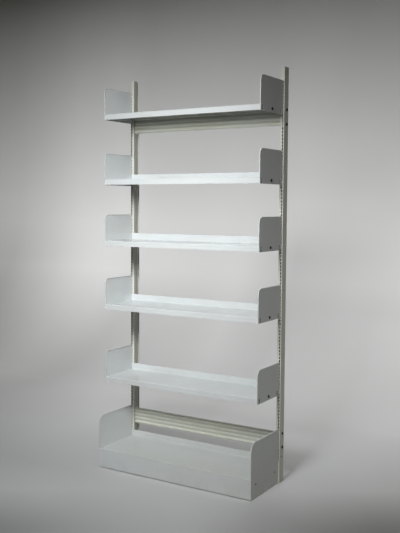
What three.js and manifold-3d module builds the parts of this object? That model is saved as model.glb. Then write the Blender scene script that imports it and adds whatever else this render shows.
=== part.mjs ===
// A bay of steel library shelving: two slotted uprights, ribbed stretchers, a base unit and hook-on shelves.
// Units are millimetres, +Z is up, the front faces -Y and the origin is the middle of the footprint.
import * as THREE from "three";
import { mergeVertices } from "three/addons/utils/BufferGeometryUtils.js";
import Module from "manifold-3d";

const wasm = await Module();
wasm.setup();

// Whole bay
const BAY_HEIGHT = 2120;
const BAY_WIDTH = 950;
const CLEARANCE = 0.3;
const JOIN = 0.5;

// Uprights: bent channels, web outside, slotted front and rear flanges, a deep lip behind the front one
const UPRIGHT_DEPTH = 52;
const UPRIGHT_FLANGE = 22;
const UPRIGHT_LIP = 34;
const UPRIGHT_SHEET = 2;
const UPRIGHT_BEND = 4;
const BEND_STEPS = 2;
const SLOT_PITCH = 17.3;
const SLOT_COUNT = 112;
const SLOT_FIRST = 113.9;
const SLOT_HEIGHT = 13;
const SLOT_WIDTH = 7;
const SLOT_INSET = 7.6;
const WEB_HOLE_RADIUS = 4.5;
const WEB_HOLE_FIRST = 665;
const WEB_HOLE_PITCH = 335;
const WEB_HOLE_COUNT = 4;
const WEB_HOLE_LOW = 137;
const WEB_HOLE_HIGH = 2098;
const HOLE_SIDES = 8;

// Hooks on the rear edge of every bracket and base panel
const HOOK_NECK = 5;
const HOOK_TIP = 3;
const HOOK_DROP = 5.5;
const HOOK_COUNT = 2;
const HOOK_STEP = 8;
const HOOK_RELIEF = 0.1;

// Shelf brackets
const BRACKET_SHEET = 2;
const BRACKET_HEIGHT = 170;
const BRACKET_RADIUS = 30;
const BRACKET_REAR_RADIUS = 8;
const CORNER_STEPS = 4;
const RIM_DEPTH = 5;
const RIM_SHEET = 2;
const BRACKET_BELOW_SLOT = 14;
const SHELF_DEPTH = 242;
const SHELF_SLOTS = [21, 44, 64, 83, 103];

// Shelf trays
const TRAY_SHEET = 1.5;
const TRAY_BEND = 3;
const TRAY_RISE = 30;
const LIP_HEIGHT = 28;
const LIP_RETURN = 14;
const UPSTAND_HEIGHT = 35;
const TAB_WIDTH = 4;
const TAB_HEIGHT = 18;
const TAB_INSET = 22;
const TAB_RISE = 6;
const TAB_FIT = 3;

// Bolts and nuts between trays and brackets
const DRILL_REACH = 8;
const BOLT_RADIUS = 3;
const BOLT_HEAD_RADIUS = 7.5;
const BOLT_HEAD = 4;
const BOLT_RISE = 18;
const BOLT_TAIL = 3;
const BOLT_SIDES = 6;
const NUT_RADIUS = 5.75;
const NUT_HEIGHT = 5;
const NUT_SIDES = 6;

// Base unit
const BASE_DEPTH = 300;
const PANEL_HEIGHT = 284;
const PANEL_RADIUS = 42;
const PANEL_FOOT = 26;
const PANEL_HOOK_SLOT = 0;
const PANEL_HOOK_STEP = 8;
const BASE_TRAY_RISE = 105;
const PLINTH_GAP = 5;
const PLINTH_RETURN = 18;
const BASE_END_FLANGE = 52;
const SCREW_RISE = 71;
const SCREW_FRONT = 50;
const SCREW_REAR = 256;
const SCREW_RADIUS = 2.5;
const SCREW_HEAD_RADIUS = 4.5;
const SCREW_HEAD = 2;
const SCREW_TAIL = 5;

// Ribbed stretchers
const STRETCHER_HEIGHT = 88;
const STRETCHER_SHEET = 1.5;
const STRETCHER_RETURN = 13;
const STRETCHER_FRONT = 12;
const STRETCHER_LEVELS = { bottom: 221, top: 1874 };
const RIB_COUNT = 4;
const RIB_DEPTH = 4;
const RIB_FOOT = 12;
const RIB_CREST = 5;
const END_TAB_DEPTH = 34;
const END_TAB_SHEET = 3;
const FRAME_BOLT_SPREAD = 36;
const FRAME_BOLT_TAIL = 8;
const NOTCH_GAP = 2;

// Sizes that follow from the ones above
const OUTER_X = BAY_WIDTH / 2;
const WEB_IN_X = OUTER_X - UPRIGHT_SHEET;
const SLOT_X = OUTER_X - SLOT_INSET;
const PLATE_OUT_X = SLOT_X + BRACKET_SHEET / 2;
const PLATE_IN_X = SLOT_X - BRACKET_SHEET / 2;
const TRAY_END_X = PLATE_IN_X - CLEARANCE;
const HALF_SHEET = TRAY_SHEET / 2;
const DEPTH = BASE_DEPTH + UPRIGHT_DEPTH;
const SHIFT_Y = DEPTH / 2 - UPRIGHT_DEPTH;
const HOOK_BACK = UPRIGHT_SHEET + CLEARANCE;
const FRAME_BOLT_Y = STRETCHER_FRONT + (END_TAB_DEPTH + STRETCHER_SHEET) / 2;
const SIDES = { left: -1, right: 1 };

// Colours read from the photograph
const OFF_WHITE = { color: 0xd9dad4, roughness: 0.5, metalness: 0.0 };
const CREAM = { color: 0xcfceb8, roughness: 0.55, metalness: 0.0 };
const BLACKENED = { color: 0x1d1c1a, roughness: 0.45, metalness: 0.6 };
const ZINC = { color: 0x9a9c98, roughness: 0.35, metalness: 0.9 };

const bay = new THREE.Group();
bay.name = "library_shelving_bay";

// A geometry as a closed solid that can be joined and cut.
function solid(geometry) {
  const bare = geometry.index ? geometry.toNonIndexed() : geometry.clone();
  bare.deleteAttribute("normal");
  bare.deleteAttribute("uv");
  const merged = mergeVertices(bare, 1e-4);
  const data = { numProp: 3, vertProperties: merged.attributes.position.array, triVerts: merged.index.array };
  return new wasm.Manifold(new wasm.Mesh(data));
}

// A finished solid becomes one named mesh with its own finish.
function addPart(name, body, finish) {
  const mesh = body.getMesh();
  const geometry = new THREE.BufferGeometry();
  geometry.setAttribute("position", new THREE.BufferAttribute(new Float32Array(mesh.vertProperties), 3));
  geometry.setIndex(new THREE.BufferAttribute(new Uint32Array(mesh.triVerts), 1));
  geometry.translate(0, SHIFT_Y, 0);
  geometry.computeVertexNormals();
  const part = new THREE.Mesh(geometry, new THREE.MeshStandardMaterial(finish));
  part.name = name;
  bay.add(part);
}

// A block between two opposite corners, in any order.
function block(xs, ys, zs) {
  const low = [Math.min(...xs), Math.min(...ys), Math.min(...zs)];
  const high = [Math.max(...xs), Math.max(...ys), Math.max(...zs)];
  const geometry = new THREE.BoxGeometry(high[0] - low[0], high[1] - low[1], high[2] - low[2]);
  geometry.translate((low[0] + high[0]) / 2, (low[1] + high[1]) / 2, (low[2] + high[2]) / 2);
  return solid(geometry);
}

// A (Y, Z) outline drawn out along X between two places.
function alongX(outline, xs) {
  const from = Math.min(...xs);
  const shape = new THREE.Shape(outline.map(([y, z]) => new THREE.Vector2(y, z)));
  const geometry = new THREE.ExtrudeGeometry(shape, { depth: Math.max(...xs) - from, bevelEnabled: false });
  const turn = new THREE.Matrix4();
  turn.makeBasis(new THREE.Vector3(0, 1, 0), new THREE.Vector3(0, 0, 1), new THREE.Vector3(1, 0, 0));
  geometry.applyMatrix4(turn);
  geometry.translate(from, 0, 0);
  return solid(geometry);
}

// An (X, Y) outline drawn up along Z from the floor.
function alongZ(outline, height) {
  const shape = new THREE.Shape(outline.map(([x, y]) => new THREE.Vector2(x, y)));
  return solid(new THREE.ExtrudeGeometry(shape, { depth: height, bevelEnabled: false }));
}

// A round corner as points on an arc, angles in quarter turns.
function arc(centre, radius, fromQuarter, toQuarter, steps) {
  const points = [];
  for (let i = 0; i <= steps; i++) {
    const angle = ((fromQuarter + ((toQuarter - fromQuarter) * i) / steps) * Math.PI) / 2;
    points.push([centre[0] + radius * Math.cos(angle), centre[1] + radius * Math.sin(angle)]);
  }
  return points;
}

// A turned body about X: the profile is [distance along, radius], starting and ending on the axis.
function turned(profile, sides, x, y, z, direction) {
  const points = profile.map(([along, radius]) => new THREE.Vector2(radius, along));
  const geometry = new THREE.LatheGeometry(points, sides);
  geometry.rotateZ((-direction * Math.PI) / 2);
  geometry.translate(x, y, z);
  return solid(geometry);
}

// A round cutter along X through the sheet at x.
function drill(x, y, z, radius, sides) {
  const reach = DRILL_REACH;
  return turned([[-reach, 0], [-reach, radius], [reach, radius], [reach, 0]], sides, x, y, z, 1);
}

function joined(bodies) {
  return bodies.reduce((sum, body) => sum.add(body));
}

function cut(body, tools) {
  return tools.reduce((rest, tool) => rest.subtract(tool), body);
}

function slotLow(index) {
  return SLOT_FIRST + index * SLOT_PITCH;
}

// Uprights

function upright(side) {
  const s = SIDES[side];
  const front = UPRIGHT_BEND;
  const rear = UPRIGHT_DEPTH - UPRIGHT_BEND;
  const inner = UPRIGHT_BEND - UPRIGHT_SHEET;
  const bendX = OUTER_X - UPRIGHT_BEND;
  const edgeX = OUTER_X - UPRIGHT_FLANGE;
  const lipBend = [edgeX + UPRIGHT_BEND, front];
  const outline = [
    [edgeX + UPRIGHT_SHEET, UPRIGHT_LIP],
    [edgeX, UPRIGHT_LIP],
    ...arc(lipBend, UPRIGHT_BEND, -2, -1, BEND_STEPS),
    ...arc([bendX, front], UPRIGHT_BEND, -1, 0, BEND_STEPS),
    ...arc([bendX, rear], UPRIGHT_BEND, 0, 1, BEND_STEPS),
    [edgeX, UPRIGHT_DEPTH],
    [edgeX, UPRIGHT_DEPTH - UPRIGHT_SHEET],
    ...arc([bendX, rear], inner, 1, 0, BEND_STEPS),
    ...arc([bendX, front], inner, 0, -1, BEND_STEPS),
    ...arc(lipBend, inner, -1, -2, BEND_STEPS),
  ];
  const channel = alongZ(outline.map(([x, y]) => [s * x, y]), BAY_HEIGHT);
  const slotX = [s * (SLOT_X - SLOT_WIDTH / 2), s * (SLOT_X + SLOT_WIDTH / 2)];
  const tools = [];
  for (let i = 0; i < SLOT_COUNT; i++) {
    tools.push(block(slotX, [-JOIN, UPRIGHT_DEPTH + JOIN], [slotLow(i), slotLow(i) + SLOT_HEIGHT]));
  }
  const holes = [WEB_HOLE_LOW, WEB_HOLE_HIGH];
  for (let i = 0; i < WEB_HOLE_COUNT; i++) {
    holes.push(WEB_HOLE_FIRST + i * WEB_HOLE_PITCH);
  }
  for (const z of holes) {
    tools.push(drill(s * OUTER_X, UPRIGHT_DEPTH / 2, z, WEB_HOLE_RADIUS, HOLE_SIDES));
  }
  const notchX = [s * (edgeX - JOIN), s * (edgeX + UPRIGHT_SHEET + JOIN)];
  const notchY = [STRETCHER_FRONT - RIB_DEPTH - NOTCH_GAP, UPRIGHT_LIP + JOIN];
  const notchHalf = STRETCHER_HEIGHT / 2 + NOTCH_GAP;
  for (const level of Object.values(STRETCHER_LEVELS)) {
    tools.push(block(notchX, notchY, [level - notchHalf, level + notchHalf]));
    for (const way of [-1, 1]) {
      const z = level + way * FRAME_BOLT_SPREAD;
      tools.push(drill(s * OUTER_X, FRAME_BOLT_Y, z, BOLT_RADIUS + CLEARANCE, BOLT_SIDES));
    }
  }
  addPart("upright_" + side, cut(channel, tools), OFF_WHITE);
}

// Stretchers: ribbed sheet with returned edges and bolted end tabs

function stretcher(place) {
  const level = STRETCHER_LEVELS[place];
  const half = STRETCHER_HEIGHT / 2;
  const pitch = STRETCHER_HEIGHT / RIB_COUNT;
  const face = [];
  for (let i = 0; i < RIB_COUNT; i++) {
    const middle = -half + (i + 0.5) * pitch;
    face.push([0, middle - RIB_FOOT / 2]);
    face.push([-RIB_DEPTH, middle - RIB_CREST / 2]);
    face.push([-RIB_DEPTH, middle + RIB_CREST / 2]);
    face.push([0, middle + RIB_FOOT / 2]);
  }
  const back = face.map(([y, z]) => [y + STRETCHER_SHEET, z]).reverse();
  const outline = [
    [STRETCHER_RETURN, -half],
    [0, -half],
    ...face,
    [0, half],
    [STRETCHER_RETURN, half],
    [STRETCHER_RETURN, half - STRETCHER_SHEET],
    [STRETCHER_SHEET, half - STRETCHER_SHEET],
    ...back,
    [STRETCHER_SHEET, -half + STRETCHER_SHEET],
    [STRETCHER_RETURN, -half + STRETCHER_SHEET],
  ].map(([y, z]) => [STRETCHER_FRONT + y, level + z]);
  const end = WEB_IN_X - CLEARANCE;
  const inset = STRETCHER_SHEET / 2;
  const zs = [level - half + inset, level + half - inset];
  const sheetEnd = end - END_TAB_SHEET / 2;
  const bodies = [alongX(outline, [-sheetEnd, sheetEnd])];
  const tools = [];
  for (const s of Object.values(SIDES)) {
    const ys = [STRETCHER_FRONT + inset, STRETCHER_FRONT + END_TAB_DEPTH];
    bodies.push(block([s * end, s * (end - END_TAB_SHEET)], ys, zs));
    for (const way of [-1, 1]) {
      const z = level + way * FRAME_BOLT_SPREAD;
      tools.push(drill(s * end, FRAME_BOLT_Y, z, BOLT_RADIUS + CLEARANCE, BOLT_SIDES));
    }
  }
  addPart("stretcher_" + place, cut(joined(bodies), tools), CREAM);
}

// A bolt: the head sits outside, the shank runs inwards.
function bolt(name, s, faceX, y, z, head, radius, headRadius, tail, finish) {
  const profile = [
    [-head, 0],
    [-head, headRadius],
    [0, headRadius],
    [0, radius],
    [tail, radius],
    [tail, 0],
  ];
  addPart(name, turned(profile, BOLT_SIDES, s * (faceX + CLEARANCE), y, z, -s), finish);
}

function stretcherBolts(place) {
  for (const [side, s] of Object.entries(SIDES)) {
    for (const [row, way] of [["lower", -1], ["upper", 1]]) {
      const z = STRETCHER_LEVELS[place] + way * FRAME_BOLT_SPREAD;
      const name = ["stretcher_bolt", place, side, row].join("_");
      bolt(name, s, OUTER_X, FRAME_BOLT_Y, z, BOLT_HEAD, BOLT_RADIUS, BOLT_HEAD_RADIUS, FRAME_BOLT_TAIL, BLACKENED);
    }
  }
}

// A plate with a turned-in rim along its front and top edges and hooks on its rear edge.
function rimmedPlate(s, depth, low, height, radius, rearRadius, hookSlots) {
  const rear = -CLEARANCE;
  const top = low + height;
  const outer = [
    [rear, low],
    ...arc([rear - rearRadius, top - rearRadius], rearRadius, 0, 1, BEND_STEPS),
    ...arc([-depth + radius, top - radius], radius, 1, 2, CORNER_STEPS),
    [-depth, low],
  ];
  const bend = radius - RIM_SHEET;
  const inner = [
    [rear + JOIN, low - JOIN],
    [rear + JOIN, top - RIM_SHEET],
    ...arc([-depth + radius, top - radius], bend, 1, 2, CORNER_STEPS),
    [-depth + RIM_SHEET, low - JOIN],
  ];
  const rimX = PLATE_OUT_X - RIM_DEPTH;
  const pan = alongX(outer, [s * rimX, s * PLATE_OUT_X]);
  const hollow = alongX(inner, [s * (rimX - JOIN), s * PLATE_IN_X]);
  const bodies = [pan.subtract(hollow)];
  const xs = [s * (PLATE_IN_X + HOOK_RELIEF), s * (PLATE_OUT_X - HOOK_RELIEF)];
  for (const index of hookSlots) {
    const seat = slotLow(index) + CLEARANCE;
    const hook = [
      [rear - JOIN, seat],
      [HOOK_BACK, seat],
      [HOOK_BACK, seat - HOOK_DROP],
      [HOOK_BACK + HOOK_TIP, seat - HOOK_DROP],
      [HOOK_BACK + HOOK_TIP, seat + HOOK_NECK],
      [rear - JOIN, seat + HOOK_NECK],
    ];
    bodies.push(alongX(hook, xs));
  }
  return joined(bodies);
}

// A bent sheet tray outline in (Y, Z): returned front, rounded front bend, flat top, rear upstand.
function trayOutline(front, rear, low, top, lipReturn) {
  const t = TRAY_SHEET;
  return [
    [front + lipReturn, low],
    [front, low],
    ...arc([front + TRAY_BEND, top - TRAY_BEND], TRAY_BEND, 2, 1, BEND_STEPS),
    [rear - t, top],
    [rear - t, top + UPSTAND_HEIGHT],
    [rear, top + UPSTAND_HEIGHT],
    [rear, top - t],
    ...arc([front + TRAY_BEND, top - TRAY_BEND], TRAY_BEND - t, 1, 2, BEND_STEPS),
    [front + t, low + t],
    [front + lipReturn, low + t],
  ];
}

// Shelves

function shelf(number, slot) {
  const name = "shelf_" + number;
  const low = slotLow(slot) - BRACKET_BELOW_SLOT;
  const top = low + TRAY_RISE;
  const lipLow = top - LIP_HEIGHT;
  const front = -SHELF_DEPTH + RIM_SHEET + CLEARANCE;
  const rear = -2 * CLEARANCE;
  const boltY = -SHELF_DEPTH / 2;
  const boltZ = low + BOLT_RISE;
  const tabYs = [-SHELF_DEPTH + TAB_INSET, -TAB_INSET];
  const tabZ = low + TAB_RISE;
  const hooks = [];
  for (let i = 0; i < HOOK_COUNT; i++) {
    hooks.push(slot + i * HOOK_STEP);
  }
  const sheetEnd = TRAY_END_X - HALF_SHEET;
  const bodies = [alongX(trayOutline(front, rear, lipLow, top, LIP_RETURN), [-sheetEnd, sheetEnd])];
  const drills = [];
  for (const [side, s] of Object.entries(SIDES)) {
    const ends = [s * TRAY_END_X, s * (TRAY_END_X - TRAY_SHEET)];
    const flangeY = [front + HALF_SHEET, rear - HALF_SHEET];
    bodies.push(block(ends, flangeY, [lipLow + HALF_SHEET, top - HALF_SHEET]));
    const cuts = [drill(s * PLATE_IN_X, boltY, boltZ, BOLT_RADIUS + CLEARANCE, BOLT_SIDES)];
    drills.push(drill(s * TRAY_END_X, boltY, boltZ, BOLT_RADIUS + CLEARANCE, BOLT_SIDES));
    for (const y of tabYs) {
      const tabX = [s * (TRAY_END_X - HALF_SHEET), s * (PLATE_OUT_X - CLEARANCE)];
      bodies.push(block(tabX, [y - TAB_WIDTH / 2, y + TAB_WIDTH / 2], [tabZ, tabZ + TAB_HEIGHT]));
      const slotY = [y - TAB_WIDTH / 2 - TAB_FIT, y + TAB_WIDTH / 2 + TAB_FIT];
      const slotX = [s * (PLATE_IN_X - JOIN), s * (PLATE_OUT_X + JOIN)];
      cuts.push(block(slotX, slotY, [tabZ - TAB_FIT, tabZ + TAB_HEIGHT + TAB_FIT]));
    }
    const plate = rimmedPlate(s, SHELF_DEPTH, low, BRACKET_HEIGHT, BRACKET_RADIUS, BRACKET_REAR_RADIUS, hooks);
    addPart(name + "_bracket_" + side, cut(plate, cuts), OFF_WHITE);
    const nutX = TRAY_END_X - TRAY_SHEET - CLEARANCE;
    const tail = PLATE_OUT_X + CLEARANCE - nutX + NUT_HEIGHT + BOLT_TAIL;
    const boltName = name + "_bolt_" + side;
    bolt(boltName, s, PLATE_OUT_X, boltY, boltZ, BOLT_HEAD, BOLT_RADIUS, BOLT_HEAD_RADIUS, tail, BLACKENED);
    const hole = drill(s * nutX, boltY, boltZ, BOLT_RADIUS + CLEARANCE, BOLT_SIDES);
    const blank = [[0, 0], [0, NUT_RADIUS], [NUT_HEIGHT, NUT_RADIUS], [NUT_HEIGHT, 0]];
    const nut = turned(blank, NUT_SIDES, s * nutX, boltY, boltZ, -s);
    addPart(name + "_nut_" + side, nut.subtract(hole), ZINC);
  }
  addPart(name + "_tray", cut(joined(bodies), drills), OFF_WHITE);
}

// Base unit

function baseUnit() {
  const front = -BASE_DEPTH + RIM_SHEET + CLEARANCE;
  const rear = -2 * CLEARANCE;
  const top = BASE_TRAY_RISE;
  const screwYs = { front: -BASE_DEPTH + SCREW_FRONT, rear: -BASE_DEPTH + SCREW_REAR };
  const hooks = [];
  for (let i = 0; i < HOOK_COUNT; i++) {
    hooks.push(PANEL_HOOK_SLOT + i * PANEL_HOOK_STEP);
  }
  const outline = trayOutline(front, rear, PLINTH_GAP, top, PLINTH_RETURN);
  const sheetEnd = TRAY_END_X - HALF_SHEET;
  const bodies = [alongX(outline, [-sheetEnd, sheetEnd])];
  const drills = [];
  for (const [side, s] of Object.entries(SIDES)) {
    const ends = [s * TRAY_END_X, s * (TRAY_END_X - TRAY_SHEET)];
    const flangeY = [front + HALF_SHEET, rear - HALF_SHEET];
    bodies.push(block(ends, flangeY, [top - BASE_END_FLANGE, top - HALF_SHEET]));
    const plate = rimmedPlate(s, BASE_DEPTH, 0, PANEL_HEIGHT, PANEL_RADIUS, BRACKET_REAR_RADIUS, hooks);
    const footX = [s * SLOT_X, s * (PLATE_OUT_X - PANEL_FOOT)];
    const foot = block(footX, [-BASE_DEPTH + RIM_SHEET / 2, -HALF_SHEET], [0, BRACKET_SHEET]);
    const cuts = [];
    for (const [place, y] of Object.entries(screwYs)) {
      cuts.push(drill(s * PLATE_IN_X, y, SCREW_RISE, SCREW_RADIUS + CLEARANCE, BOLT_SIDES));
      drills.push(drill(s * TRAY_END_X, y, SCREW_RISE, SCREW_RADIUS + CLEARANCE, BOLT_SIDES));
      const name = ["base_screw", side, place].join("_");
      const tail = BRACKET_SHEET + TRAY_SHEET + SCREW_TAIL;
      bolt(name, s, PLATE_OUT_X, y, SCREW_RISE, SCREW_HEAD, SCREW_RADIUS, SCREW_HEAD_RADIUS, tail, ZINC);
    }
    addPart("base_panel_" + side, cut(plate.add(foot), cuts), OFF_WHITE);
  }
  addPart("base_tray", cut(joined(bodies), drills), OFF_WHITE);
}

for (const side of Object.keys(SIDES)) {
  upright(side);
}
for (const place of Object.keys(STRETCHER_LEVELS)) {
  stretcher(place);
  stretcherBolts(place);
}
baseUnit();
SHELF_SLOTS.forEach((slot, i) => shelf(i + 1, slot));

export default bay;
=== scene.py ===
# %% [markdown]
# This lesson dresses a bay of painted steel library shelving.
# The solids come in as a fixed frame in metres: -Y is the front, +Z is up, and the origin is on the floor.

# %% Load the frame
import bpy
import numpy as np
from mathutils import Matrix, Vector


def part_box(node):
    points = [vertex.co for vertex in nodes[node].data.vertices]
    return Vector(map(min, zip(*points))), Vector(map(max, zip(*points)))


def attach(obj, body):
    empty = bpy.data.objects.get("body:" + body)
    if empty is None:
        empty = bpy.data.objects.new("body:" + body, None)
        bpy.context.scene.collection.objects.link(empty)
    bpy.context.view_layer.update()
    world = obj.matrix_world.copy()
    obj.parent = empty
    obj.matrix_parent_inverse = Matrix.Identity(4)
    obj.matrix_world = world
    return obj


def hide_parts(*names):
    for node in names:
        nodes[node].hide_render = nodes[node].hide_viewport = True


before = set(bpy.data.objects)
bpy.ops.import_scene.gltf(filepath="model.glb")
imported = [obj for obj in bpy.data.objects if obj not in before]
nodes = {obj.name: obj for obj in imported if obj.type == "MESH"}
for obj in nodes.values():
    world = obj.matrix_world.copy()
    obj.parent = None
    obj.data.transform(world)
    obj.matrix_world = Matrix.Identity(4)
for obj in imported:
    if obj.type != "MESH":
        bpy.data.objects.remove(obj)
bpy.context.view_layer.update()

# %% [markdown]
# The camera stands in front and to the right, at a height between the third and the fourth shelf,
# and looks slightly down. Its place was solved from corner points of the bay,
# so we build its axes directly from the angles.
# A turn of a third of a degree about the line of sight keeps the uprights leaning as they do in the picture.

# %% Camera
CAMERA_PLACE = Vector((2.1921, -3.4590, 1.4319))
CAMERA_AZIMUTH, CAMERA_PITCH, CAMERA_ROLL = np.radians([31.599, 4.480, 0.329])
FOCAL_PIXELS, PICTURE_HEIGHT, SENSOR = 784.06, 533.0, 36.0

sight = Vector((-np.sin(CAMERA_AZIMUTH) * np.cos(CAMERA_PITCH),
                np.cos(CAMERA_AZIMUTH) * np.cos(CAMERA_PITCH), -np.sin(CAMERA_PITCH)))
level_right = Vector((np.cos(CAMERA_AZIMUTH), np.sin(CAMERA_AZIMUTH), 0.0))
level_ahead = Vector((-level_right.y, level_right.x, 0.0))
level_up = level_right.cross(sight)
right = level_right * np.cos(CAMERA_ROLL) + level_up * np.sin(CAMERA_ROLL)
up = level_up * np.cos(CAMERA_ROLL) - level_right * np.sin(CAMERA_ROLL)
lens = bpy.data.cameras.new("picture_camera")
lens.sensor_fit = "VERTICAL"
lens.sensor_height = SENSOR
lens.lens = FOCAL_PIXELS / PICTURE_HEIGHT * SENSOR
camera = bpy.data.objects.new("picture_camera", lens)
bpy.context.collection.objects.link(camera)
axes = Matrix((right, up, -sight)).transposed().to_4x4()
camera.matrix_world = Matrix.Translation(CAMERA_PLACE) @ axes
bpy.context.scene.camera = camera
print("focal length", round(lens.lens, 2), "mm")

# %% [markdown]
# Several materials share small node trees, so a few helpers save typing.
# The first ones make a material or a node, fill its sockets and join it to others.

# %% Node helpers
def new_material(name):
    """A material with nodes, its tree and its main shader."""
    material = bpy.data.materials.new(name)
    material.use_nodes = True
    return material, material.node_tree, material.node_tree.nodes["Principled BSDF"]


def fill(node, values):
    """Named sockets set to plain values; an underscore stands for a space."""
    for name, value in values.items():
        node.inputs[name.replace("_", " ")].default_value = value
    return node


def place(tree, kind, **values):
    return fill(tree.nodes.new(kind), values)


def place_group(tree, group, **values):
    made = tree.nodes.new("ShaderNodeGroup")
    made.node_tree = group
    return fill(made, values)


def join(tree, out_socket, in_socket):
    tree.links.new(out_socket, in_socket)


def feed(tree, value, socket):
    """A socket gets either a link or a plain value."""
    if isinstance(value, bpy.types.NodeSocket):
        join(tree, value, socket)
    else:
        socket.default_value = value


print("node helpers ready")

# %% [markdown]
# Every mask below is built from a few sums: coordinates, a noise, a stretch between two limits,
# one step of arithmetic, the reach of one vector along another and a mix of two colours.

# %% Sums for masks
def object_coords(tree):
    return tree.nodes.new("ShaderNodeTexCoord").outputs["Object"]


def split_xyz(tree, coords):
    split = tree.nodes.new("ShaderNodeSeparateXYZ")
    join(tree, coords, split.inputs[0])
    return {axis: split.outputs[axis] for axis in "XYZ"}


def noise(tree, coords, scale, detail, roughness=0.5):
    made = place(tree, "ShaderNodeTexNoise", Scale=scale, Detail=detail, Roughness=roughness)
    join(tree, coords, made.inputs["Vector"])
    return made.outputs["Fac"]


def ramp(tree, source, low, high):
    """A value stretched so that low becomes 0 and high becomes 1, held inside that range."""
    made = place(tree, "ShaderNodeMapRange", From_Min=low, From_Max=high)
    join(tree, source, made.inputs["Value"])
    return made.outputs["Result"]


def calc(tree, a, b, kind="MULTIPLY"):
    """One step of arithmetic on two values."""
    made = tree.nodes.new("ShaderNodeMath")
    made.operation = kind
    feed(tree, a, made.inputs[0])
    feed(tree, b, made.inputs[1])
    return made.outputs[0]


def dot(tree, a, b):
    """How far the vector a reaches along b."""
    made = tree.nodes.new("ShaderNodeVectorMath")
    made.operation = "DOT_PRODUCT"
    feed(tree, a, made.inputs[0])
    feed(tree, b, made.inputs[1])
    return made.outputs["Value"]


def tint(tree, mask, under, over):
    """Two colours mixed by a mask."""
    made = tree.nodes.new("ShaderNodeMix")
    made.data_type = "RGBA"
    under_socket, over_socket = (socket for socket in made.inputs if socket.type == "RGBA")
    join(tree, mask, made.inputs["Factor"])
    feed(tree, under, under_socket)
    feed(tree, over, over_socket)
    return next(socket for socket in made.outputs if socket.type == "RGBA")


print("mask sums ready")

# %% [markdown]
# Paint wears first along edges. A bevel shader bends the normal near an edge,
# so where that bent normal leaves the true one there is an edge. A noise breaks the line up.
# Paints and metals both use the mask, so it is a group.

# %% Edge wear group
EDGE_SAMPLES, EDGE_BEND = 4, (0.02, 0.22)
WEAR_PATCHES, WEAR_BREAKS = (85.0, 4.0, 0.65), (0.46, 0.66)


def edge_wear_group():
    tree = bpy.data.node_groups.new("edge_wear", "ShaderNodeTree")
    tree.interface.new_socket("Width", in_out="INPUT", socket_type="NodeSocketFloat")
    tree.interface.new_socket("Amount", in_out="INPUT", socket_type="NodeSocketFloat")
    tree.interface.new_socket("Mask", in_out="OUTPUT", socket_type="NodeSocketFloat")
    source = tree.nodes.new("NodeGroupInput")
    result = tree.nodes.new("NodeGroupOutput")
    bent = tree.nodes.new("ShaderNodeBevel")
    bent.samples = EDGE_SAMPLES
    join(tree, source.outputs["Width"], bent.inputs["Radius"])
    true_normal = tree.nodes.new("ShaderNodeNewGeometry").outputs["Normal"]
    agreement = dot(tree, bent.outputs["Normal"], true_normal)
    near = ramp(tree, calc(tree, 1.0, agreement, "SUBTRACT"), *EDGE_BEND)
    patches = noise(tree, object_coords(tree), *WEAR_PATCHES)
    broken = calc(tree, near, ramp(tree, patches, *WEAR_BREAKS))
    join(tree, calc(tree, broken, source.outputs["Amount"]), result.inputs["Mask"])
    return tree


wear_group = edge_wear_group()


def wear_mask(tree, width, amount):
    return place_group(tree, wear_group, Width=width, Amount=amount).outputs["Mask"]


print("edge wear sockets", len(wear_group.interface.items_tree))

# %% [markdown]
# Old stoved enamel is never one colour. It yellows in slow clouds, gathers dust in faint specks,
# chips to grey primer here and there, is scuffed near the floor, and has a fine orange peel from the gun.
# These marks could be painted as a picture, but noise in the object's own coordinates has no seam.
# All painted pieces share the effects, so they become one node group with its own named inputs.
# Each noise is given as scale, detail and, where it matters, roughness.
# The limits say at which of its values an effect sets in and where it is full.

# %% Aged enamel group
CLOUDS, SPECKS, CHIPS, SCUFFS = (3.2, 4.0, 0.6), (260.0, 2.0), (46.0, 5.0, 0.62), (14.0, 4.0, 0.7)
CLOUD_LIMITS, SPECK_LIMITS, CHIP_LIMITS, SCUFF_LIMITS = (0.38, 0.72), (0.62, 0.74), (0.735, 0.75), (0.4, 0.75)
GLOSS, PEEL, DENTS = (9.0, 3.0), (420.0, 1.0), (6.0, 2.0)
SPECK_BROWN, PRIMER_GREY, SCUFF_BROWN = (0.42, 0.40, 0.35, 1), (0.23, 0.22, 0.20, 1), (0.30, 0.28, 0.24, 1)
SPECK_AMOUNT, SCUFF_AMOUNT, SCUFF_HEIGHT = 0.16, 0.20, 0.09
PAINT_EDGE_WIDTH, PAINT_EDGE_WEAR = 0.0016, 0.8
GLOSS_LOW, GLOSS_RANGE, CHIP_ROUGHNESS = 0.13, 0.16, 0.25
PEEL_HEIGHT, DENT_HEIGHT, CHIP_DEPTH = 0.25, 0.5, 0.6


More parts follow.
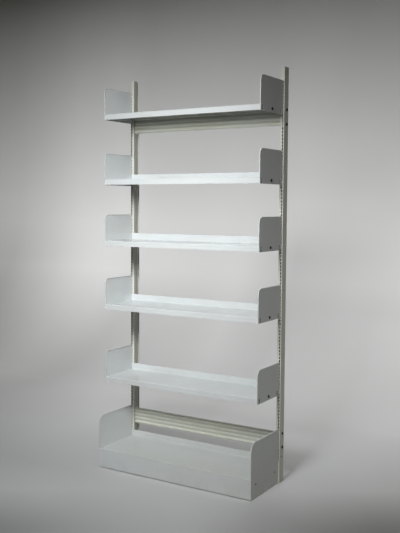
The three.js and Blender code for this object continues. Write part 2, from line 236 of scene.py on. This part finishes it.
def aged_enamel_group():
    tree = bpy.data.node_groups.new("aged_enamel", "ShaderNodeTree")
    for name, kind in (("Paint", "NodeSocketColor"), ("Stain", "NodeSocketColor"),
                       ("Stain Amount", "NodeSocketFloat"), ("Chip Amount", "NodeSocketFloat")):
        tree.interface.new_socket(name, in_out="INPUT", socket_type=kind)
    for name, kind in (("Color", "NodeSocketColor"), ("Roughness", "NodeSocketFloat"),
                       ("Height", "NodeSocketFloat")):
        tree.interface.new_socket(name, in_out="OUTPUT", socket_type=kind)
    source = tree.nodes.new("NodeGroupInput")
    result = tree.nodes.new("NodeGroupOutput")
    coords = object_coords(tree)

    clouds = ramp(tree, noise(tree, coords, *CLOUDS), *CLOUD_LIMITS)
    stain = calc(tree, clouds, source.outputs["Stain Amount"])
    colour = tint(tree, stain, source.outputs["Paint"], source.outputs["Stain"])
    specks = ramp(tree, noise(tree, coords, *SPECKS), *SPECK_LIMITS)
    colour = tint(tree, calc(tree, specks, SPECK_AMOUNT), colour, SPECK_BROWN)
    chips = ramp(tree, noise(tree, coords, *CHIPS), *CHIP_LIMITS)
    chips = calc(tree, chips, wear_mask(tree, PAINT_EDGE_WIDTH, PAINT_EDGE_WEAR), "MAXIMUM")
    chips = calc(tree, chips, source.outputs["Chip Amount"])
    colour = tint(tree, chips, colour, PRIMER_GREY)
    low_down = ramp(tree, split_xyz(tree, coords)["Z"], SCUFF_HEIGHT, 0.0)
    scuffs = calc(tree, low_down, ramp(tree, noise(tree, coords, *SCUFFS), *SCUFF_LIMITS))
    colour = tint(tree, calc(tree, scuffs, SCUFF_AMOUNT), colour, SCUFF_BROWN)
    join(tree, colour, result.inputs["Color"])

    rough = calc(tree, noise(tree, coords, *GLOSS), GLOSS_RANGE)
    rough = calc(tree, rough, GLOSS_LOW, "ADD")
    rough = calc(tree, rough, calc(tree, chips, CHIP_ROUGHNESS), "ADD")
    join(tree, rough, result.inputs["Roughness"])

    peel = calc(tree, noise(tree, coords, *PEEL), PEEL_HEIGHT)
    dents = calc(tree, noise(tree, coords, *DENTS), DENT_HEIGHT)
    height = calc(tree, peel, dents, "ADD")
    height = calc(tree, height, calc(tree, chips, CHIP_DEPTH), "SUBTRACT")
    join(tree, height, result.inputs["Height"])
    return tree


enamel_group = aged_enamel_group()
print("enamel group sockets", len(enamel_group.interface.items_tree))

# %% [markdown]
# The inside of the upright channels and the ends of the shelf tabs in their slots get painted shade:
# a near-black colour in place of the shadow there. The lip along the channel's inner edge gets it only in
# part.
# All are picked out by their distance from the middle plane and their place from front to back.
# Painted shade, a dull grey, also darkens the grooves between the ribs and the low deck of the base.

# %% Places of painted shade
SHADE_FADE = 0.001


def span(low, high):
    """A stretch as its centre and its half length."""
    return (low + high) / 2, (high - low) / 2


# Painted shade: this mask picks the boxes where a near-black colour stands in for shadow.
def shade_box_mask(tree, boxes):
    """The share of each box (span of |x|, span of y, share) in the object's own coordinates, else 0."""
    xyz = split_xyz(tree, object_coords(tree))
    side = calc(tree, xyz["X"], 0.0, "ABSOLUTE")
    mask = None
    for *spans, share in boxes:
        inside = share
        for value, (centre, half) in zip((side, xyz["Y"]), spans):
            near = tree.nodes.new("ShaderNodeMath")
            near.operation = "COMPARE"
            join(tree, value, near.inputs[0])
            near.inputs[1].default_value = centre
            near.inputs[2].default_value = half
            inside = calc(tree, inside, near.outputs[0])
        mask = inside if mask is None else calc(tree, mask, inside, "MAXIMUM")
    return mask


# Painted shade along a band: the grooves between the ribs and the low deck of the base.
def shade_band_mask(tree, axis, start, full, end):
    """Rises from 0 at start to 1 at full along one axis, and is gone again past end."""
    value = split_xyz(tree, object_coords(tree))[axis]
    return calc(tree, ramp(tree, value, start, full), ramp(tree, value, end + SHADE_FADE, end))


print("bare and dusty places ready")

# %% [markdown]
# One function makes every paint: the aged enamel, then painted shade where there is any,
# and a thin clear coat for the gloss.

# %% Paint maker
# Painted shade: the first two colours stand in for shadow in the channels and slots, the grey for shade in
# the grooves and on the low deck.
PAINTED_SHADE_DARK, PAINTED_SHADE_STREAK, PAINTED_SHADE_GREY = (0.05, 0.048, 0.043, 1), (0.11, 0.10, 0.085, 1), (0.30, 0.29, 0.24, 1)
PAINT_COAT = {"Coat_Weight": 0.25, "Coat_Roughness": 0.1}
PAINT_BUMP = {"Strength": 0.12, "Distance": 0.0006}


def enamel(name, paint, stain, stain_amount, chip_amount, shade_boxes=(), shade_band=None, shade_band_amount=0.0):
    material, tree, shader = new_material(name)
    group = place_group(tree, enamel_group, Paint=paint, Stain=stain,
                        Stain_Amount=stain_amount, Chip_Amount=chip_amount)
    colour = group.outputs["Color"]
    # Painted shade in place of shadow, where the boxes say so.
    if shade_boxes:
        streaks = tint(tree, group.outputs["Height"], PAINTED_SHADE_DARK, PAINTED_SHADE_STREAK)
        colour = tint(tree, shade_box_mask(tree, shade_boxes), colour, streaks)
    # Painted shade along a band, a dull grey.
    if shade_band:
        colour = tint(tree, calc(tree, shade_band_mask(tree, *shade_band), shade_band_amount), colour, PAINTED_SHADE_GREY)
    join(tree, colour, shader.inputs["Base Color"])
    join(tree, group.outputs["Roughness"], shader.inputs["Roughness"])
    bump = place(tree, "ShaderNodeBump", **PAINT_BUMP)
    join(tree, group.outputs["Height"], bump.inputs["Height"])
    join(tree, bump.outputs["Normal"], shader.inputs["Normal"])
    fill(shader, PAINT_COAT)
    return material


print("paint maker ready")

# %% [markdown]
# The places of painted shade are worked out from the boxes of the solids, the gauge of the sheet
# and a few depths. The two uprights mirror each other and the shelf trays are alike in plan,
# so one box of each will do.

# %% Limits of the painted shade
UPRIGHT_SHEET, UPRIGHT_BEND, UPRIGHT_LIP, MARGIN = 0.002, 0.004, 0.034, 0.0002
FULL_SHADE, PART_SHADE = 1.0, 0.45
SKIN_BEFORE, SKIN_BEHIND = 0.0013, 0.0003
# Painted shade inside the channel, on its rear face and on the side of the lip.
(inner_x, front_y, _), (outer_x, rear_y, _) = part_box("upright_right")
channel_width = span(inner_x + UPRIGHT_SHEET - MARGIN, outer_x - UPRIGHT_SHEET + MARGIN)
rear_face = rear_y - UPRIGHT_SHEET
channel_depth = span(front_y + UPRIGHT_SHEET - MARGIN, rear_face - UPRIGHT_SHEET)
channel_inside = (channel_width, channel_depth, FULL_SHADE)
channel_rear = (channel_width, span(rear_face - SKIN_BEFORE, rear_face + SKIN_BEHIND), FULL_SHADE)
lip_width = span(inner_x - MARGIN, inner_x + UPRIGHT_SHEET + MARGIN)
lip_side = (lip_width, span(front_y + UPRIGHT_BEND, front_y + UPRIGHT_LIP + UPRIGHT_SHEET), PART_SHADE)

# Painted shade on the tab ends, where they sit in the bracket slots.
TAB_SHADE_LENGTH = 0.0026
(_, tray_front, _), (tab_end, tray_rear, _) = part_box("shelf_1_tray")
tray_depth = span(tray_front - MARGIN, tray_rear + MARGIN)
tab_ends = (span(tab_end - TAB_SHADE_LENGTH, tab_end + MARGIN), tray_depth, FULL_SHADE)

# Painted shade in the grooves between the ribs.
GROOVE_START, GROOVE_FULL, GROOVE_END = 0.0026, 0.0032, 0.0055
rib_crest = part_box("stretcher_top")[0][1]
grooves = ("Y", rib_crest + GROOVE_START, rib_crest + GROOVE_FULL, rib_crest + GROOVE_END)

# Painted shade on the low deck of the base, dimming its top against its front.
UPSTAND_HEIGHT, DECK_SHADE_START, DECK_SHADE_FULL = 0.035, 0.010, 0.001
base_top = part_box("base_tray")[1][2]
base_deck = base_top - UPSTAND_HEIGHT
low_deck = ("Z", base_deck - DECK_SHADE_START, base_deck - DECK_SHADE_FULL, base_top + SHADE_FADE)
print("rib crests at", round(rib_crest, 4), "base deck at", round(base_deck, 4))

# %% [markdown]
# The shelves and panels are a cool off-white, the uprights a little creamier,
# and the ribbed stretchers have yellowed most, so only the values differ.
# On the right upright the inner face of the rear flange gets painted shade as well.

# %% Paints
COOL_WHITE, COOL_STAIN = (0.70, 0.725, 0.73, 1), (0.62, 0.63, 0.60, 1)
CREAM_WHITE, CREAM_STAIN = (0.74, 0.735, 0.66, 1), (0.62, 0.60, 0.50, 1)
YELLOWED_WHITE, YELLOWED_STAIN = (0.90, 0.91, 0.82, 1), (0.82, 0.80, 0.65, 1)

shelf_paint = enamel("shelf_enamel", COOL_WHITE, COOL_STAIN, stain_amount=0.55, chip_amount=0.3)
# The tray paint darkens the tab ends with painted shade.
tray_paint = enamel("tray_enamel", COOL_WHITE, COOL_STAIN, stain_amount=0.55, chip_amount=0.8,
                    shade_boxes=(tab_ends,))
# The base paint dims its low deck with painted shade.
base_paint = enamel("base_enamel", COOL_WHITE, COOL_STAIN, stain_amount=0.55, chip_amount=0.8,
                    shade_band=low_deck, shade_band_amount=0.16)
# The upright paints darken the channel and lip with painted shade, the right one its rear flange too.
left_paint = enamel("upright_enamel_left", CREAM_WHITE, CREAM_STAIN, stain_amount=0.6, chip_amount=0.9,
                    shade_boxes=(channel_inside, lip_side))
right_paint = enamel("upright_enamel_right", CREAM_WHITE, CREAM_STAIN, stain_amount=0.6, chip_amount=0.9,
                     shade_boxes=(channel_inside, lip_side, channel_rear))
# The stretcher paint darkens the rib grooves with painted shade.
stretcher_paint = enamel("stretcher_enamel", YELLOWED_WHITE, YELLOWED_STAIN,
                         stain_amount=0.8, chip_amount=1.0, shade_band=grooves, shade_band_amount=0.4)
for paint in (shelf_paint, tray_paint, base_paint, left_paint, right_paint, stretcher_paint):
    print("paint", paint.name)

# %% [markdown]
# The bolts are blackened steel, oily and rubbed at the high spots; the nuts are zinc plated,
# and on the small screws the zinc has gone dull and dark.
# All are metals whose roughness wanders, so one function makes them with different values.

# %% Bare metals
METALLIC, METAL_EDGE_WIDTH, METAL_EDGE_WEAR = 0.85, 0.0008, 0.7
RUB_DETAIL, RUB_ROUGHNESS, RUB_LIMITS = 4.0, 0.65, (0.35, 0.7)
METAL_BUMP = {"Strength": 0.15, "Distance": 0.0003}


def metal(name, dark, light, rubbed, roughness, grain):
    material, tree, shader = new_material(name)
    shader.inputs["Metallic"].default_value = METALLIC
    rub = noise(tree, object_coords(tree), grain, RUB_DETAIL, RUB_ROUGHNESS)
    mask = ramp(tree, rub, *RUB_LIMITS)
    body = tint(tree, mask, dark, light)
    edges = wear_mask(tree, METAL_EDGE_WIDTH, METAL_EDGE_WEAR)
    join(tree, tint(tree, edges, body, rubbed), shader.inputs["Base Color"])
    smooth, rough = roughness
    wander = calc(tree, mask, rough - smooth)
    join(tree, calc(tree, wander, smooth, "ADD"), shader.inputs["Roughness"])
    bump = place(tree, "ShaderNodeBump", **METAL_BUMP)
    join(tree, rub, bump.inputs["Height"])
    join(tree, bump.outputs["Normal"], shader.inputs["Normal"])
    return material


black_steel = metal("blackened_steel", dark=(0.012, 0.012, 0.011, 1), light=(0.05, 0.047, 0.043, 1),
                    rubbed=(0.22, 0.21, 0.20, 1), roughness=(0.35, 0.6), grain=380.0)
zinc_steel = metal("zinc_plate", dark=(0.34, 0.35, 0.34, 1), light=(0.52, 0.53, 0.51, 1),
                   rubbed=(0.60, 0.60, 0.58, 1), roughness=(0.28, 0.5), grain=240.0)
dull_steel = metal("dull_zinc", dark=(0.07, 0.07, 0.066, 1), light=(0.17, 0.17, 0.16, 1),
                   rubbed=(0.40, 0.40, 0.38, 1), roughness=(0.4, 0.65), grain=300.0)
print("metals", black_steel.name, zinc_steel.name, dull_steel.name)

# %% [markdown]
# The trays, brackets, panels and uprights are sheet steel, with a small soft radius on every edge
# that catches a thin line of light. The solids have sharp edges. New meshes could replace them,
# but modifiers leave the solids as they are: a weld joins their loose triangles and a bevel rounds
# each real edge. Flat neighbours stay untouched because the bevel acts only past a set angle.

# %% Painted sheet pieces
EDGE_ROUND, EDGE_STEPS, EDGE_ANGLE, WELD_GAP = 0.0004, 2, np.radians(50.0), 0.00001


def dress_sheet(node_name, paint):
    piece = nodes[node_name]
    piece.data.materials.clear()
    piece.data.materials.append(paint)
    weld = piece.modifiers.new("weld", "WELD")
    weld.merge_threshold = WELD_GAP
    bevel = piece.modifiers.new("edge_round", "BEVEL")
    bevel.width = EDGE_ROUND
    bevel.segments = EDGE_STEPS
    bevel.limit_method = "ANGLE"
    bevel.angle_limit = EDGE_ANGLE


sheet_paints = {"upright_left": left_paint, "upright_right": right_paint, "base_tray": base_paint}
for name in sorted(nodes):
    if name.endswith("_tray"):
        sheet_paints.setdefault(name, tray_paint)
    elif "bracket" in name or "panel" in name:
        sheet_paints[name] = shelf_paint
for name, paint in sheet_paints.items():
    dress_sheet(name, paint)
print("painted sheet pieces", len(sheet_paints))

# %% [markdown]
# Fasteners and stretchers need a finer shape than their solids have, so they get new skins.
# Every new piece below is a grid of points worked out in one go, then handed to Blender.
# The helper can run the grid round to its start and close both ends, so a turned part is one closed skin.

# %% Grid to mesh
def grid_object(name, points, material, wrap=False, cap=False):
    """points[u, v] are places in metres; quads join neighbours, v may run round, and caps close both ends."""
    rows, cols = points.shape[:2]
    index = np.arange(rows * cols).reshape(rows, cols)
    ends = [index[0].tolist(), index[-1, ::-1].tolist()] if cap else []
    if wrap:
        index = np.concatenate([index, index[:, :1]], axis=1)
    quads = np.stack([index[:-1, :-1], index[1:, :-1], index[1:, 1:], index[:-1, 1:]], axis=-1)
    mesh = bpy.data.meshes.new(name)
    mesh.from_pydata(points.reshape(-1, 3), [], quads.reshape(-1, 4).tolist() + ends)
    mesh.polygons.foreach_set("use_smooth", np.ones(len(mesh.polygons), dtype=bool))
    mesh.materials.append(material)
    mesh.update()
    made = bpy.data.objects.new(name, mesh)
    bpy.context.collection.objects.link(made)
    return made


def body_of(node_name):
    """Pieces of a shelf ride on that shelf, all others on the frame."""
    words = node_name.split("_")
    return "_".join(words[:2]) if words[0] == "shelf" else "frame"


print("grid helper ready")

# %% [markdown]
# Bolts join the brackets to the trays and the stretchers to the uprights,
# and small screws hold the base panels.
# A Screw modifier could spin a round profile, but it couldn't make the hexagonal socket in the head.
# So the spin is a formula: a radius that changes along the axis, drawn in to a hexagon near the middle.
# The place of each comes from its solid's own box, so it sits where the solid sat.

# %% Bolts and screws
TURN_POINTS, DOME_POINTS, SOCKET_RINGS, AXIS_RADIUS = 36, 7, 3, 1e-5
TURN = np.linspace(0.0, 2.0 * np.pi, TURN_POINTS, endpoint=False)
HEXAGON = np.cos(np.pi / 6) / np.cos((TURN + np.pi / 6) % (np.pi / 3) - np.pi / 6)
HEAD_DEEPEST, HEAD_DEPTH_SHARE, SHANK_SHARE = 0.004, 0.62, 0.46
SOCKET_DEPTH_SHARE, SOCKET_FLOOR, SOCKET_MOUTH = 0.6, 0.36, 0.42
DOME_INNER, DOME_OUTER, DOME_CURVE, DOME_DROP = 0.46, 0.98, 0.95, 0.75


def turned_points(node_name, along, radius, hexed):
    """Point = outer end - along * outward + radius * shape(angle) * (cos, sin).

    The shape is 1 for a round ring, and the hexagon where hexed is true.
    """
    low, high = (np.array(corner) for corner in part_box(node_name))
    outward = np.sign(low[0] + high[0])
    outer_end = high[0] if outward > 0 else low[0]
    middle = (low + high) / 2
    spread = radius[:, None] * np.where(hexed[:, None], HEXAGON[None, :], 1.0)
    x = np.broadcast_to(outer_end - outward * along[:, None], spread.shape)
    y = middle[1] + spread * np.cos(TURN)[None, :]
    z = middle[2] + outward * spread * np.sin(TURN)[None, :]
    return np.stack([x, y, z], axis=-1)


def dress_bolt(node_name, material):
    """Rings from the socket's floor over the dome and under the head to the end of the shank.

    Over the dome, along = head depth * drop * (1 - sqrt(1 - curve * t * t)) for t from 0 to 1.
    """
    low, high = (np.array(corner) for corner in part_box(node_name))
    length = high[0] - low[0]
    head = (high[2] - low[2]) / 2
    shank = head * SHANK_SHARE
    depth = min(HEAD_DEEPEST, head * HEAD_DEPTH_SHARE)
    socket = depth * SOCKET_DEPTH_SHARE
    dome = np.linspace(0.0, 1.0, DOME_POINTS)
    dome_along = depth * DOME_DROP * (1 - np.sqrt(1 - dome**2 * DOME_CURVE))
    dome_radius = head * (DOME_INNER + (DOME_OUTER - DOME_INNER) * dome)
    along = np.concatenate([[socket, socket, 0.0], dome_along, [depth, depth, length, length]])
    radius = np.concatenate([[AXIS_RADIUS, head * SOCKET_FLOOR, head * SOCKET_MOUTH], dome_radius,
                             [head * DOME_OUTER, shank, shank, AXIS_RADIUS]])
    hexed = np.arange(len(along)) < SOCKET_RINGS
    points = turned_points(node_name, along, radius, hexed)
    piece = grid_object(node_name + "_turned", points, material, wrap=True, cap=True)
    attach(piece, body_of(node_name))
    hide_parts(node_name)


for name in sorted(nodes):
    if "_bolt_" in name:
        dress_bolt(name, black_steel)
    elif "_screw_" in name:
        dress_bolt(name, dull_steel)
print("turned bolts and screws", sum("_bolt_" in name or "_screw_" in name for name in nodes))

# %% [markdown]
# A nut sits on the inner end of each shelf bolt. A bevelled prism would do for the outside,
# but the spin of the bolts gives the bore as well, so a nut is a ring: out over a chamfer, along the flats,
# back over the other chamfer and through the bore.
# The chamfer is simply a smaller, rounder radius at each end of the hexagon.

# %% Nuts
BORE_SHARE, CHAMFER_SHARE, CHAMFER_DEPTH = 0.56, 0.84, 0.12


def dress_nut(node_name):
    """Rings from the bore over the outer face, along the flats, over the inner face and back in the bore."""
    low, high = (np.array(corner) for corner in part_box(node_name))
    tall = high[0] - low[0]
    across = (high[2] - low[2]) / 2
    bore, face = across * BORE_SHARE, across * CHAMFER_SHARE
    along = np.array([0.0, 0.0, CHAMFER_DEPTH, 1.0 - CHAMFER_DEPTH, 1.0, 1.0, 0.0]) * tall
    radius = np.array([bore, face, across, across, face, bore, bore])
    hexed = radius == across
    points = turned_points(node_name, along, radius, hexed)
    piece = grid_object(node_name + "_hex", points, zinc_steel, wrap=True)
    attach(piece, body_of(node_name))
    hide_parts(node_name)


nut_names = sorted(name for name in nodes if "_nut_" in name)
for name in nut_names:
    dress_nut(name)
print("nuts", len(nut_names))

# %% [markdown]
# The stretchers are rolled sheet with four soft ribs, returned edges and ends bent back to meet the uprights.
# A bevel on the solid would leave its ribs angular, so we carry a ribbed profile along a path
# that turns a corner at each end, and let the ribs fade out before the corner, as a press would.
# A solidify gives the sheet its thickness.

# %% Ribbed stretchers
RIBS, RIB_DEEP, RIB_WAVE, RIB_LIFT = 4, 0.004, 0.9, 0.35
STRETCHER_SHEET, END_BEND = 0.0015, 0.004
EDGE_RETURN = np.array([0.0125, 0.006, 0.0015])
FADE_MARGIN, FADE_LENGTH = 0.012, 0.02
TAB_POINTS, BEND_POINTS, RUN_POINTS, PROFILE_POINTS = 3, 6, 90, 97


def ease(share):
    """A soft start and a soft stop between 0 and 1."""
    share = np.clip(share, 0.0, 1.0)
    return share * share * (3 - 2 * share)


def stretcher_path(end_x, face_y, rear_y):
    """x and y of a path that comes forward along one tab, runs along X and goes back along the other."""
    turn = np.linspace(0.0, np.pi / 2, BEND_POINTS)
    tab = np.linspace(rear_y, face_y + END_BEND, TAB_POINTS + 1)[:-1]
    run = np.linspace(-end_x + END_BEND, end_x - END_BEND, RUN_POINTS)[1:-1]
    x = np.concatenate([np.full(TAB_POINTS, -end_x), -end_x + END_BEND * (1 - np.cos(turn)), run,
                        end_x - END_BEND * (1 - np.sin(turn)), np.full(TAB_POINTS, end_x)])
    y = np.concatenate([tab, face_y + END_BEND * (1 - np.sin(turn)), np.full(len(run), face_y),
                        face_y + END_BEND * (1 - np.cos(turn)), tab[::-1]])
    return x, y


def dress_stretcher(node_name):
    """Surface(s, v) = path(s) + fade(s) * profile(v) in Y, and the height of v in Z.

    The profile is -rib depth * rib(v) on the face, and goes back along the returned edges.
    """
    low, high = (np.array(corner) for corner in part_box(node_name))
    end_x = high[0] - STRETCHER_SHEET / 2
    path_x, path_y = stretcher_path(end_x, low[1] + RIB_DEEP, high[1])
    fade = ease((end_x - FADE_MARGIN - np.abs(path_x)) / FADE_LENGTH)
    middle = (low[2] + high[2]) / 2
    half = (high[2] - low[2]) / 2 - STRETCHER_SHEET / 2
    share = np.linspace(-1.0, 1.0, PROFILE_POINTS)
    rib = ease(RIB_LIFT - RIB_WAVE * np.cos((share + 1) * RIBS * np.pi))
    profile = np.concatenate([EDGE_RETURN, -RIB_DEEP * rib, EDGE_RETURN[::-1]])
    rise = half * np.pad(share, len(EDGE_RETURN), mode="edge")
    x, z = np.meshgrid(path_x, middle + rise, indexing="ij")
    y = path_y[:, None] + fade[:, None] * profile[None, :]
    piece = grid_object(node_name + "_rolled", np.stack([x, y, z], axis=-1), stretcher_paint)
    wall = piece.modifiers.new("sheet", "SOLIDIFY")
    wall.thickness = STRETCHER_SHEET
    wall.offset = 0.0
    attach(piece, body_of(node_name))
    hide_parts(node_name)
    return piece


for name in ("stretcher_bottom", "stretcher_top"):
    made = dress_stretcher(name)
    print(made.name, "points", len(made.data.vertices))

# %% [markdown]
# The bay stands on a plain pale sweep: a floor that curves up into a wall behind it.
# The paper glows a little, as a lit studio wall would, but only for the camera and in glossy reflections.
# The glow is painted light. It fades towards the top, and a few soft patches of painted light and painted
# shade raise or lower it;
# two of them are the painted shadow of the bay. Each patch is named for where the camera sees it.
# It holds the change, then each axis with the places where it sets in and is full.
# To the left and right, the part of the floor nearest the camera falls off into painted shade.

# %% Sweep paper
PAPER_DARK, PAPER_LIGHT, PAPER_CALM = (0.52, 0.52, 0.518, 1), (0.56, 0.56, 0.558, 1), (0.30, 0.30, 0.30, 1)
PAPER_FIBRE, PAPER_ROUGHNESS, BLACK = (1.5, 3.0), 0.9, (0.0, 0.0, 0.0, 1)
NEAR_END_SHADE, NEAR_END_SIDE, NEAR_END_DEPTH = 0.42, (0.05, 0.85), (-0.25, -0.70)
FLOOR_GLOW, FLOOR_REACH = 0.06, (-0.3, 1.3)
MIDDLE_GLOW, MIDDLE_RISE, MIDDLE_REACH = 0.24, 0.36, (-2.2, -0.6)
WALL_RISE, WALL_FOOT = 0.45, (0.0, 0.8)
WALL_GLOW, WALL_FADE = 1.18, (3.68, 1.25)
GLOW_PATCHES = {
    "left end": (-0.40, ("X", -3.1, -4.9)),
    "right side": (-0.32, ("X", -2.4, -0.2), ("Z", 0.05, 0.6)),
    "behind the left upright": (0.30, ("X", -3.9, -2.6), ("X", -0.9, -2.6)),
    # Painted shadow of the bay on the wall beside the right upright.
    "low beside the right upright": (-0.28, ("X", -1.1, -0.6), ("X", 0.3, -0.6), ("Z", 1.45, 1.0)),
    "low on the left": (-0.22, ("X", -2.9, -3.9), ("Z", 1.5, 0.9)),
    # Painted shadow of the base, low on the right.
    "low on the right": (-0.24, ("X", -0.4, 0.2), ("Z", 0.5, 0.0)),
}


def paper_shade(tree, coords):
    shade = tint(tree, noise(tree, coords, *PAPER_FIBRE), PAPER_DARK, PAPER_LIGHT)
    aside = calc(tree, dot(tree, coords, level_right), 0.0, "ABSOLUTE")
    near_ends = calc(tree, ramp(tree, aside, *NEAR_END_SIDE),
                     ramp(tree, dot(tree, coords, level_ahead), *NEAR_END_DEPTH))
    return tint(tree, calc(tree, near_ends, NEAR_END_SHADE), shade, BLACK)


def paper_glow(tree, coords):
    xyz = split_xyz(tree, coords)
    middle = calc(tree, ramp(tree, xyz["X"], *MIDDLE_REACH), MIDDLE_RISE)
    middle = calc(tree, middle, MIDDLE_GLOW, "ADD")
    glow = calc(tree, ramp(tree, xyz["Y"], *FLOOR_REACH), middle)
    glow = calc(tree, glow, FLOOR_GLOW, "ADD")
    glow = calc(tree, glow, calc(tree, ramp(tree, xyz["Z"], *WALL_FOOT), WALL_RISE), "ADD")
    glow = calc(tree, glow, calc(tree, ramp(tree, xyz["Z"], *WALL_FADE), WALL_GLOW))
    for change, *limits in GLOW_PATCHES.values():
        patch = change
        for axis, start, full in limits:
            patch = calc(tree, patch, ramp(tree, xyz[axis], start, full))
        glow = calc(tree, glow, calc(tree, patch, 1.0, "ADD"))
    return glow


print("glow patches", *GLOW_PATCHES, sep="; ")

# %% [markdown]
# The sweep is a straight profile carried along X, and it isn't part of the object.
# Its material is clear from behind and below, so the bay can be looked at from every side.

# %% Floor and wall sweep
SWEEP_HALF, SWEEP_TOP, FLOOR_DROP = 9.0, 7.0, 0.0002
CURVE_START, CURVE_RADIUS, CURVE_POINTS = 1.2, 1.6, 24


def sweep_paper():
    paper, tree, shader = new_material("pale_paper")
    coords = object_coords(tree)
    path = tree.nodes.new("ShaderNodeLightPath").outputs
    shade = paper_shade(tree, coords)
    join(tree, tint(tree, path["Is Camera Ray"], PAPER_CALM, shade), shader.inputs["Base Color"])
    join(tree, shade, shader.inputs["Emission Color"])
    seen = calc(tree, path["Is Camera Ray"], path["Is Glossy Ray"], "MAXIMUM")
    join(tree, calc(tree, paper_glow(tree, coords), seen), shader.inputs["Emission Strength"])
    shader.inputs["Roughness"].default_value = PAPER_ROUGHNESS
    one_sided = tree.nodes.new("ShaderNodeMixShader")
    join(tree, tree.nodes.new("ShaderNodeNewGeometry").outputs["Backfacing"], one_sided.inputs["Fac"])
    join(tree, shader.outputs["BSDF"], one_sided.inputs[1])
    join(tree, tree.nodes.new("ShaderNodeBsdfTransparent").outputs[0], one_sided.inputs[2])
    join(tree, one_sided.outputs[0], tree.nodes["Material Output"].inputs["Surface"])
    return paper


def studio_sweep():
    """Profile(s): level floor, then a quarter circle from it into the wall, then the wall straight up."""
    curve = np.linspace(0.0, np.pi / 2, CURVE_POINTS)
    y = np.concatenate([[-SWEEP_HALF, CURVE_START], CURVE_START + CURVE_RADIUS * np.sin(curve),
                        [CURVE_START + CURVE_RADIUS]])
    z = np.concatenate([[0.0, 0.0], CURVE_RADIUS * (1 - np.cos(curve)), [SWEEP_TOP]]) - FLOOR_DROP
    x = np.array([SWEEP_HALF, -SWEEP_HALF])
    points = np.stack([np.tile(x, (len(y), 1)), np.stack([y, y], -1), np.stack([z, z], -1)], axis=-1)
    sweep = grid_object("studio_sweep", points, sweep_paper())
    return sweep


print(studio_sweep().name)

# %% [markdown]
# One soft lamp stands in front of the right end, just above the bay in height, and is turned to the left.
# A narrowed spread keeps its middle brightest, so the top shelf and the right end don't burn out.
# It throws the soft shadow of each shelf on the uprights. Two warm low reflectors lift the faces near
# the floor, one on the right and one in front. A weak lamp behind shows the back,
# and a dim warm sky fills the rest.

# %% Light
COOL_LIGHT, WARM_LIGHT, PALE_LIGHT = (0.96, 0.985, 1.0), (1.0, 0.985, 0.90), (1.0, 0.99, 0.93)
SKY_COLOUR, SKY_STRENGTH = (1.0, 0.985, 0.84, 1.0), 0.058


def soft_lamp(name, where, aim, size, power, spread, colour):
    data = bpy.data.lights.new(name, "AREA")
    data.shape = "RECTANGLE"
    data.size, data.size_y = size
    data.energy = power
    data.spread = np.radians(spread)
    data.color = colour
    lamp = bpy.data.objects.new(name, data)
    bpy.context.collection.objects.link(lamp)
    lamp.location = where
    lamp.visible_camera = False
    lamp.rotation_euler = (Vector(aim) - Vector(where)).to_track_quat("-Z", "Y").to_euler()


soft_lamp("front_softbox", where=(0.52, -1.75, 2.15), aim=(-0.42, 0.0, 0.88), size=(0.6, 0.6),
          power=17.6, spread=98.0, colour=COOL_LIGHT)
soft_lamp("rear_fill", where=(-0.6, 2.2, 2.3), aim=(0.0, 0.2, 1.0), size=(1.2, 1.2),
          power=6.0, spread=150.0, colour=COOL_LIGHT)
soft_lamp("low_reflector", where=(1.9, -0.7, 0.45), aim=(0.45, 0.0, 0.1), size=(1.0, 0.6),
          power=1.6, spread=130.0, colour=WARM_LIGHT)
soft_lamp("front_reflector", where=(0.1, -1.6, 0.35), aim=(0.0, 0.1, 0.15), size=(1.2, 0.4),
          power=0.6, spread=120.0, colour=PALE_LIGHT)
sky = bpy.data.worlds.new("studio_fill")
sky.use_nodes = True
fill(sky.node_tree.nodes["Background"], {"Color": SKY_COLOUR, "Strength": SKY_STRENGTH})
bpy.context.scene.world = sky
bpy.context.scene.view_settings.view_transform = "Standard"
